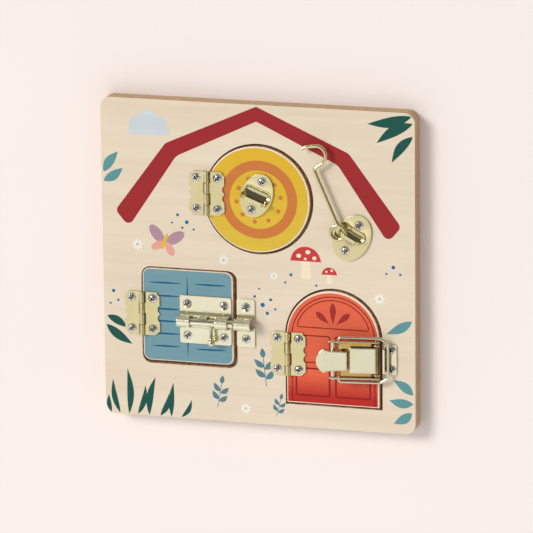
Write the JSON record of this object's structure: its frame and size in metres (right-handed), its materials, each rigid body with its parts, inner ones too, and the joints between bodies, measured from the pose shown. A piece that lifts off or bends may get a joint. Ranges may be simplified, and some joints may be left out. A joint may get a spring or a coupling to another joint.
{
  "type": "wooden locking busy board",
  "caption": "Flat wooden play board with a round, a square and an arched hinged door, closed by a cabin hook, a barrel bolt and a toggle latch.",
  "frame": {"origin": "middle of the board's back face", "axes": "+X right and +Y up across the board as it is looked at, +Z out of the front face"},
  "size_m": [0.274, 0.278, 0.0343],
  "materials": {
    "board_wood": "pale sanded plywood, clear satin varnish",
    "door_yellow": "pale wood, matt printed yellow and orange",
    "door_blue": "pale wood, matt printed blue",
    "door_red": "pale wood, matt printed red",
    "brass_plate": "bright pale brass plating",
    "screw_steel": "bright nickel-plated steel"
  },
  "bodies": {
    "board": {"back_panel": "board_wood", "face_panel": "board_wood", "round_hinge_fixed_leaf": "brass_plate", "square_hinge_fixed_leaf": "brass_plate", "arched_hinge_fixed_leaf": "brass_plate", "round_hinge_pin": "brass_plate", "square_hinge_pin": "brass_plate", "arched_hinge_pin": "brass_plate", "board_screws": "screw_steel", "bolt_keeper": "brass_plate", "hook_plate": "brass_plate", "latch_catch": "brass_plate"},
    "round_door_body": {"round_door": "door_yellow", "round_hinge_door_leaf": "brass_plate", "eye_plate": "brass_plate", "round_door_screws": "screw_steel"},
    "square_door_body": {"square_door": "door_blue", "square_hinge_door_leaf": "brass_plate", "bolt_casing": "brass_plate", "square_door_screws": "screw_steel"},
    "bolt_body": {"bolt_rod": "brass_plate"},
    "knob_body": {"bolt_knob": "brass_plate"},
    "arched_door_body": {"arched_door": "door_red", "arched_hinge_door_leaf": "brass_plate", "latch_base": "brass_plate", "latch_pivot_pin": "brass_plate", "arched_door_screws": "screw_steel"},
    "lever_body": {"latch_lever": "brass_plate", "latch_cross_pin": "brass_plate"},
    "bail_body": {"latch_bail": "brass_plate"},
    "hook_body": {"cabin_hook": "brass_plate"}
  },
  "joints": [
    {"name": "round_door_swing", "type": "hinge", "parent": "board", "child": "round_door_body", "pos_m": [-0.0436, 0.0605, 0.01725], "axis": [0, -1, 0], "range_deg": [0, 160]},
    {"name": "square_door_swing", "type": "hinge", "parent": "board", "child": "square_door_body", "pos_m": [-0.1023, -0.0478, 0.01725], "axis": [0, -1, 0], "range_deg": [0, 160]},
    {"name": "arched_door_swing", "type": "hinge", "parent": "board", "child": "arched_door_body", "pos_m": [0.0261, -0.0748, 0.01725], "axis": [0, -1, 0], "range_deg": [0, 140]},
    {"name": "bolt_slide", "type": "slide", "parent": "square_door_body", "child": "bolt_body", "axis": [1, 0, 0], "range_m": [-0.014, 0.0024]},
    {"name": "bolt_turn", "type": "hinge", "parent": "bolt_body", "child": "knob_body", "pos_m": [-0.0395, -0.0506, 0.0229], "axis": [-1, 0, 0], "range_deg": [0, 180]},
    {"name": "lever_lift", "type": "hinge", "parent": "arched_door_body", "child": "lever_body", "pos_m": [0.1045, -0.074, 0.02], "axis": [0, 1, 0], "range_deg": [0, 95]},
    {"name": "bail_swing", "type": "hinge", "parent": "lever_body", "child": "bail_body", "pos_m": [0.07328, -0.074, 0.0255], "axis": [0, 1, 0], "range_deg": [-60, 0]},
    {"name": "hook_swing", "type": "hinge", "parent": "board", "child": "hook_body", "pos_m": [0.0718, 0.0347, 0.021], "axis": [0, 0, 1], "range_deg": [-84, 54]}
  ],
  "couplings": [
    {"joint": "bail_swing", "follows": "lever_lift", "ratio": -0.6}
  ]
}
